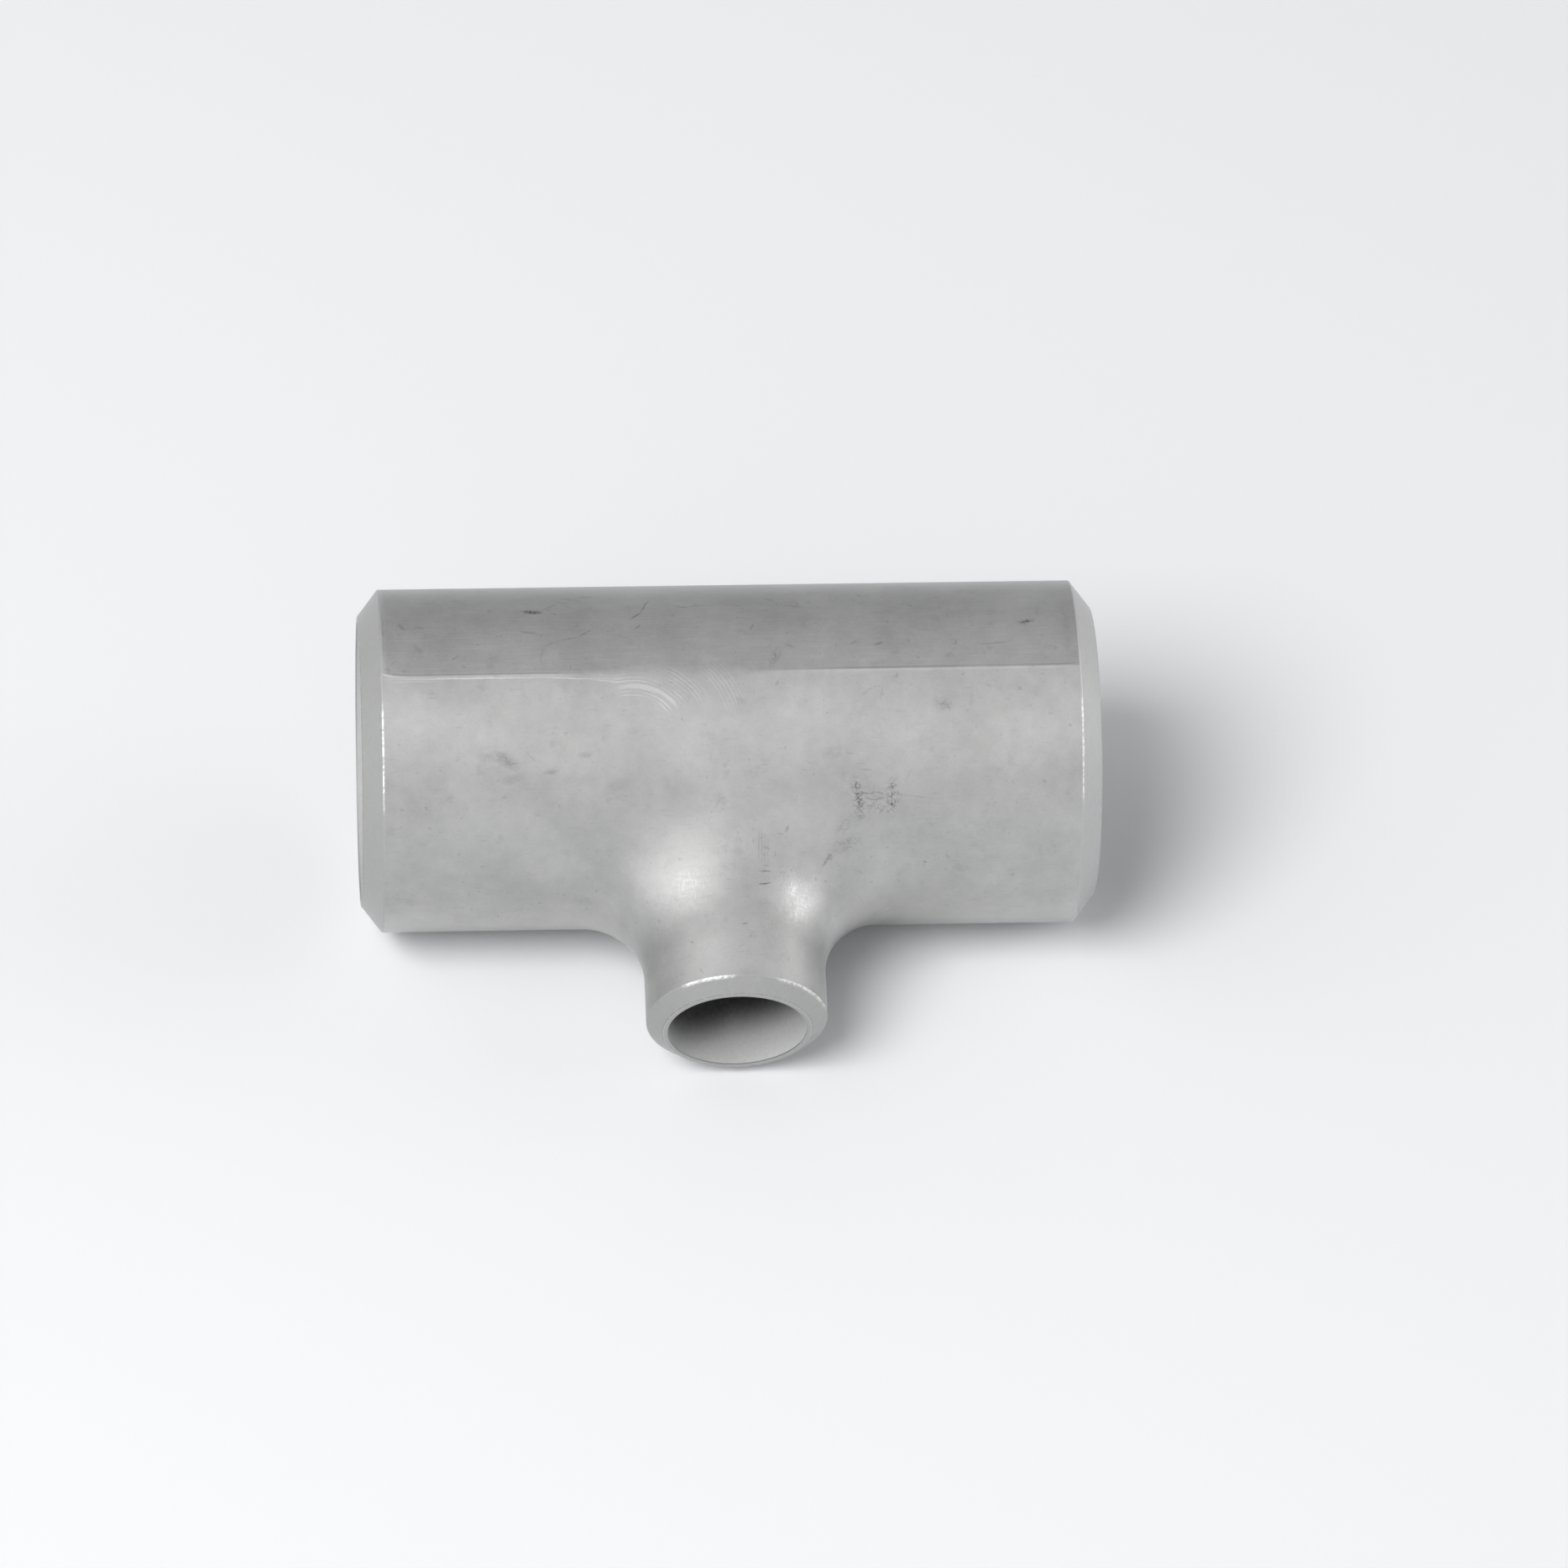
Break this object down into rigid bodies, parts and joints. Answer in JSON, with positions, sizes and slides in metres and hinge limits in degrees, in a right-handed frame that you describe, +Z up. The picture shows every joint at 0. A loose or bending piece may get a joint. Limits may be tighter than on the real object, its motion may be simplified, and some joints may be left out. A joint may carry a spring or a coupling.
{
  "type": "butt weld tee",
  "caption": "Reducing butt weld tee: a straight pipe run with bevelled ends and a smaller bevelled outlet drawn out of its side.",
  "frame": {"origin": "where the axes of the run and of the outlet cross, halfway along the run", "axes": "+X along the run; the outlet points towards -Y and dips about 16 degrees, so that the fitting lies as it comes to rest, with the underside of the run and the outlet's outer rim on one level surface; +Z up"},
  "size_m": [0.129, 0.0869, 0.0602],
  "materials": {
    "pickled_steel": "satin pickled stainless steel, faintly clouded, with fine grinding lines at the neck"
  },
  "bodies": {
    "root": {"tee_body": "pickled_steel"}
  },
  "joints": []
}
